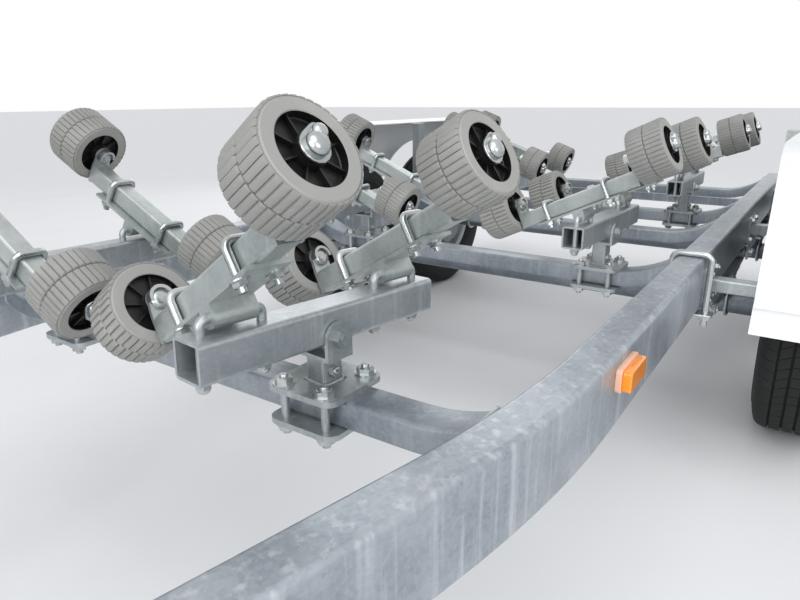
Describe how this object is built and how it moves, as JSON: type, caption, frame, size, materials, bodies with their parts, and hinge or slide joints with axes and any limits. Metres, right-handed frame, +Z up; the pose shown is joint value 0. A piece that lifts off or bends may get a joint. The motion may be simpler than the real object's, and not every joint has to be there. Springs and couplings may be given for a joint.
{
  "type": "boat trailer",
  "caption": "Tandem boat trailer with galvanised beams converging to a ball coupling, rocking roller cradles, white fenders, winch post and jockey wheel.",
  "frame": {"origin": "on the ground under the middle of the trailer's overall length and width", "axes": "+X forwards to the coupling, +Y to the left side, +Z up"},
  "size_m": [5.8, 1.876, 1.25],
  "materials": {
    "galvanised": "hot dip galvanised, dull grey with a faint spangle",
    "zinc_bright": "bright zinc plate",
    "spring_steel": "galvanised leaf steel",
    "rim_paint": "silver paint",
    "tyre": "black rubber",
    "roller_rubber": "grey non-marking rubber",
    "black_rubber": "black rubber",
    "wheel_rubber": "solid black rubber",
    "white_plastic": "white moulded plastic",
    "lamp_lens": "amber and red lenses",
    "lever_paint": "black paint"
  },
  "bodies": {
    "frame": {"side_beam_left": "galvanised", "side_beam_right": "galvanised", "cross_members": "galvanised", "cradle_posts": "galvanised", "axles": "galvanised", "leaf_springs": "spring_steel", "spring_hangers": "galvanised", "fender_left": "white_plastic", "fender_right": "white_plastic", "fender_brackets": "galvanised", "lamp_bar": "galvanised", "lamps": "lamp_lens", "overrun_housing": "galvanised", "gaiter": "black_rubber", "coupling_head": "zinc_bright", "jockey_tube": "galvanised", "winch_post": "galvanised"},
    "bar_left_1": {"cradle_bar_left_1": "galvanised"},
    "arm_left_1_front": {"cradle_arm_left_1_front": "galvanised"},
    "rollers_left_1_front": {"rollers_left_1_front": "roller_rubber"},
    "arm_left_1_rear": {"cradle_arm_left_1_rear": "galvanised"},
    "rollers_left_1_rear": {"rollers_left_1_rear": "roller_rubber"},
    "bar_right_1": {"cradle_bar_right_1": "galvanised"},
    "arm_right_1_front": {"cradle_arm_right_1_front": "galvanised"},
    "rollers_right_1_front": {"rollers_right_1_front": "roller_rubber"},
    "arm_right_1_rear": {"cradle_arm_right_1_rear": "galvanised"},
    "rollers_right_1_rear": {"rollers_right_1_rear": "roller_rubber"},
    "bar_left_2": {"cradle_bar_left_2": "galvanised"},
    "arm_left_2_front": {"cradle_arm_left_2_front": "galvanised"},
    "rollers_left_2_front": {"rollers_left_2_front": "roller_rubber"},
    "arm_left_2_rear": {"cradle_arm_left_2_rear": "galvanised"},
    "rollers_left_2_rear": {"rollers_left_2_rear": "roller_rubber"},
    "bar_right_2": {"cradle_bar_right_2": "galvanised"},
    "arm_right_2_front": {"cradle_arm_right_2_front": "galvanised"},
    "rollers_right_2_front": {"rollers_right_2_front": "roller_rubber"},
    "arm_right_2_rear": {"cradle_arm_right_2_rear": "galvanised"},
    "rollers_right_2_rear": {"rollers_right_2_rear": "roller_rubber"},
    "bar_left_3": {"cradle_bar_left_3": "galvanised"},
    "arm_left_3_front": {"cradle_arm_left_3_front": "galvanised"},
    "rollers_left_3_front": {"rollers_left_3_front": "roller_rubber"},
    "arm_left_3_rear": {"cradle_arm_left_3_rear": "galvanised"},
    "rollers_left_3_rear": {"rollers_left_3_rear": "roller_rubber"},
    "bar_right_3": {"cradle_bar_right_3": "galvanised"},
    "arm_right_3_front": {"cradle_arm_right_3_front": "galvanised"},
    "rollers_right_3_front": {"rollers_right_3_front": "roller_rubber"},
    "arm_right_3_rear": {"cradle_arm_right_3_rear": "galvanised"},
    "rollers_right_3_rear": {"rollers_right_3_rear": "roller_rubber"},
    "wheel_left_front": {"wheel_rim_left_front": "rim_paint", "tyre_left_front": "tyre"},
    "wheel_right_front": {"wheel_rim_right_front": "rim_paint", "tyre_right_front": "tyre"},
    "wheel_left_rear": {"wheel_rim_left_rear": "rim_paint", "tyre_left_rear": "tyre"},
    "wheel_right_rear": {"wheel_rim_right_rear": "rim_paint", "tyre_right_rear": "tyre"},
    "bow_stop": {"bow_stop": "black_rubber"},
    "winch_drum": {"winch_drum": "zinc_bright"},
    "brake_lever": {"brake_lever": "lever_paint"},
    "jockey_stem": {"jockey_stem": "galvanised"},
    "jockey_wheel": {"jockey_wheel": "wheel_rubber"}
  },
  "joints": [
    {"name": "pitch_left_1", "type": "hinge", "parent": "frame", "child": "bar_left_1", "pos_m": [-0.02944, 0.28994, 0.59401], "axis": [0.1045, 0.9945, 0], "range_deg": [-12, 12]},
    {"name": "rock_left_1_front", "type": "hinge", "parent": "bar_left_1", "child": "arm_left_1_front", "pos_m": [0.10766, 0.27553, 0.65786], "axis": [0.9939, -0.1045, 0.0349], "range_deg": [-12, 12]},
    {"name": "spin_left_1_front", "type": "hinge", "parent": "arm_left_1_front", "child": "rollers_left_1_front", "pos_m": [0.10111, 0.23405, 0.72], "axis": [0.0672, 0.8265, 0.5589], "continuous": true},
    {"name": "rock_left_1_rear", "type": "hinge", "parent": "bar_left_1", "child": "arm_left_1_rear", "pos_m": [-0.17064, 0.30478, 0.64809], "axis": [0.9939, -0.1045, 0.0349], "range_deg": [-12, 12]},
    {"name": "spin_left_1_rear", "type": "hinge", "parent": "arm_left_1_rear", "child": "rollers_left_1_rear", "pos_m": [-0.17681, 0.26772, 0.713], "axis": [0.0732, 0.8631, 0.4997], "continuous": true},
    {"name": "pitch_right_1", "type": "hinge", "parent": "frame", "child": "bar_right_1", "pos_m": [-0.02944, -0.28994, 0.59401], "axis": [-0.1045, 0.9945, 0], "range_deg": [-12, 12]},
    {"name": "rock_right_1_front", "type": "hinge", "parent": "bar_right_1", "child": "arm_right_1_front", "pos_m": [0.10766, -0.27553, 0.65786], "axis": [0.9939, 0.1045, 0.0349], "range_deg": [-12, 12]},
    {"name": "spin_right_1_front", "type": "hinge", "parent": "arm_right_1_front", "child": "rollers_right_1_front", "pos_m": [0.10111, -0.23405, 0.72], "axis": [0.0672, -0.8265, 0.5589], "continuous": true},
    {"name": "rock_right_1_rear", "type": "hinge", "parent": "bar_right_1", "child": "arm_right_1_rear", "pos_m": [-0.17064, -0.30478, 0.64809], "axis": [0.9939, 0.1045, 0.0349], "range_deg": [-12, 12]},
    {"name": "spin_right_1_rear", "type": "hinge", "parent": "arm_right_1_rear", "child": "rollers_right_1_rear", "pos_m": [-0.17681, -0.26772, 0.713], "axis": [0.0732, -0.8631, 0.4997], "continuous": true},
    {"name": "pitch_left_2", "type": "hinge", "parent": "frame", "child": "bar_left_2", "pos_m": [-0.99, 0.363, 0.574], "axis": [0.0349, 0.9994, 0], "range_deg": [-12, 12]},
    {"name": "rock_left_2_front", "type": "hinge", "parent": "bar_left_2", "child": "arm_left_2_front", "pos_m": [-0.85008, 0.35811, 0.633], "axis": [0.9994, -0.0349, 0], "range_deg": [-12, 12]},
    {"name": "spin_left_2_front", "type": "hinge", "parent": "arm_left_2_front", "child": "rollers_left_2_front", "pos_m": [-0.85119, 0.32644, 0.70097], "axis": [0.0316, 0.9058, 0.4226], "continuous": true},
    {"name": "rock_left_2_rear", "type": "hinge", "parent": "bar_left_2", "child": "arm_left_2_rear", "pos_m": [-1.12992, 0.36789, 0.633], "axis": [0.9994, -0.0349, 0], "range_deg": [-12, 12]},
    {"name": "spin_left_2_rear", "type": "hinge", "parent": "arm_left_2_rear", "child": "rollers_left_2_rear", "pos_m": [-1.13094, 0.3386, 0.70204], "axis": [0.0321, 0.9199, 0.3907], "continuous": true},
    {"name": "pitch_right_2", "type": "hinge", "parent": "frame", "child": "bar_right_2", "pos_m": [-0.99, -0.363, 0.574], "axis": [-0.0349, 0.9994, 0], "range_deg": [-12, 12]},
    {"name": "rock_right_2_front", "type": "hinge", "parent": "bar_right_2", "child": "arm_right_2_front", "pos_m": [-0.85008, -0.35811, 0.633], "axis": [0.9994, 0.0349, 0], "range_deg": [-12, 12]},
    {"name": "spin_right_2_front", "type": "hinge", "parent": "arm_right_2_front", "child": "rollers_right_2_front", "pos_m": [-0.85119, -0.32644, 0.70097], "axis": [0.0316, -0.9058, 0.4226], "continuous": true},
    {"name": "rock_right_2_rear", "type": "hinge", "parent": "bar_right_2", "child": "arm_right_2_rear", "pos_m": [-1.12992, -0.36789, 0.633], "axis": [0.9994, 0.0349, 0], "range_deg": [-12, 12]},
    {"name": "spin_right_2_rear", "type": "hinge", "parent": "arm_right_2_rear", "child": "rollers_right_2_rear", "pos_m": [-1.13094, -0.3386, 0.70204], "axis": [0.0321, -0.9199, 0.3907], "continuous": true},
    {"name": "pitch_left_3", "type": "hinge", "parent": "frame", "child": "bar_left_3", "pos_m": [-1.95, 0.368, 0.574], "axis": [0, 1, 0], "range_deg": [-12, 12]},
    {"name": "rock_left_3_front", "type": "hinge", "parent": "bar_left_3", "child": "arm_left_3_front", "pos_m": [-1.81, 0.368, 0.633], "axis": [1, 0, 0], "range_deg": [-12, 12]},
    {"name": "spin_left_3_front", "type": "hinge", "parent": "arm_left_3_front", "child": "rollers_left_3_front", "pos_m": [-1.81, 0.34235, 0.70348], "axis": [0, 0.9397, 0.342], "continuous": true},
    {"name": "rock_left_3_rear", "type": "hinge", "parent": "bar_left_3", "child": "arm_left_3_rear", "pos_m": [-2.09, 0.368, 0.633], "axis": [1, 0, 0], "range_deg": [-12, 12]},
    {"name": "spin_left_3_rear", "type": "hinge", "parent": "arm_left_3_rear", "child": "rollers_left_3_rear", "pos_m": [-2.09, 0.34235, 0.70348], "axis": [0, 0.9397, 0.342], "continuous": true},
    {"name": "pitch_right_3", "type": "hinge", "parent": "frame", "child": "bar_right_3", "pos_m": [-1.95, -0.368, 0.574], "axis": [0, 1, 0], "range_deg": [-12, 12]},
    {"name": "rock_right_3_front", "type": "hinge", "parent": "bar_right_3", "child": "arm_right_3_front", "pos_m": [-1.81, -0.368, 0.633], "axis": [1, 0, 0], "range_deg": [-12, 12]},
    {"name": "spin_right_3_front", "type": "hinge", "parent": "arm_right_3_front", "child": "rollers_right_3_front", "pos_m": [-1.81, -0.34235, 0.70348], "axis": [0, -0.9397, 0.342], "continuous": true},
    {"name": "rock_right_3_rear", "type": "hinge", "parent": "bar_right_3", "child": "arm_right_3_rear", "pos_m": [-2.09, -0.368, 0.633], "axis": [1, 0, 0], "range_deg": [-12, 12]},
    {"name": "spin_right_3_rear", "type": "hinge", "parent": "arm_right_3_rear", "child": "rollers_right_3_rear", "pos_m": [-2.09, -0.34235, 0.70348], "axis": [0, -0.9397, 0.342], "continuous": true},
    {"name": "roll_left_front", "type": "hinge", "parent": "frame", "child": "wheel_left_front", "pos_m": [-1.4, 0.818, 0.325], "axis": [0, 1, 0], "continuous": true},
    {"name": "roll_right_front", "type": "hinge", "parent": "frame", "child": "wheel_right_front", "pos_m": [-1.4, -0.818, 0.325], "axis": [0, 1, 0], "continuous": true},
    {"name": "roll_left_rear", "type": "hinge", "parent": "frame", "child": "wheel_left_rear", "pos_m": [-2.16, 0.818, 0.325], "axis": [0, 1, 0], "continuous": true},
    {"name": "roll_right_rear", "type": "hinge", "parent": "frame", "child": "wheel_right_rear", "pos_m": [-2.16, -0.818, 0.325], "axis": [0, 1, 0], "continuous": true},
    {"name": "bow_stop_spin", "type": "hinge", "parent": "frame", "child": "bow_stop", "pos_m": [1.605, 0, 0.98], "axis": [0, 1, 0], "continuous": true},
    {"name": "winch_crank", "type": "hinge", "parent": "frame", "child": "winch_drum", "pos_m": [1.76, 0, 1.19], "axis": [0, 1, 0], "continuous": true},
    {"name": "brake_lever_swing", "type": "hinge", "parent": "frame", "child": "brake_lever", "pos_m": [2.472, 0, 0.456], "axis": [0, 1, 0], "range_deg": [-60, 0]},
    {"name": "jockey_swivel", "type": "hinge", "parent": "frame", "child": "jockey_stem", "pos_m": [2.13, 0.18833, 0.222], "axis": [0, 0, 1], "continuous": true},
    {"name": "jockey_spin", "type": "hinge", "parent": "jockey_stem", "child": "jockey_wheel", "pos_m": [2.085, 0.18833, 0.1], "axis": [0, 1, 0], "continuous": true}
  ]
}
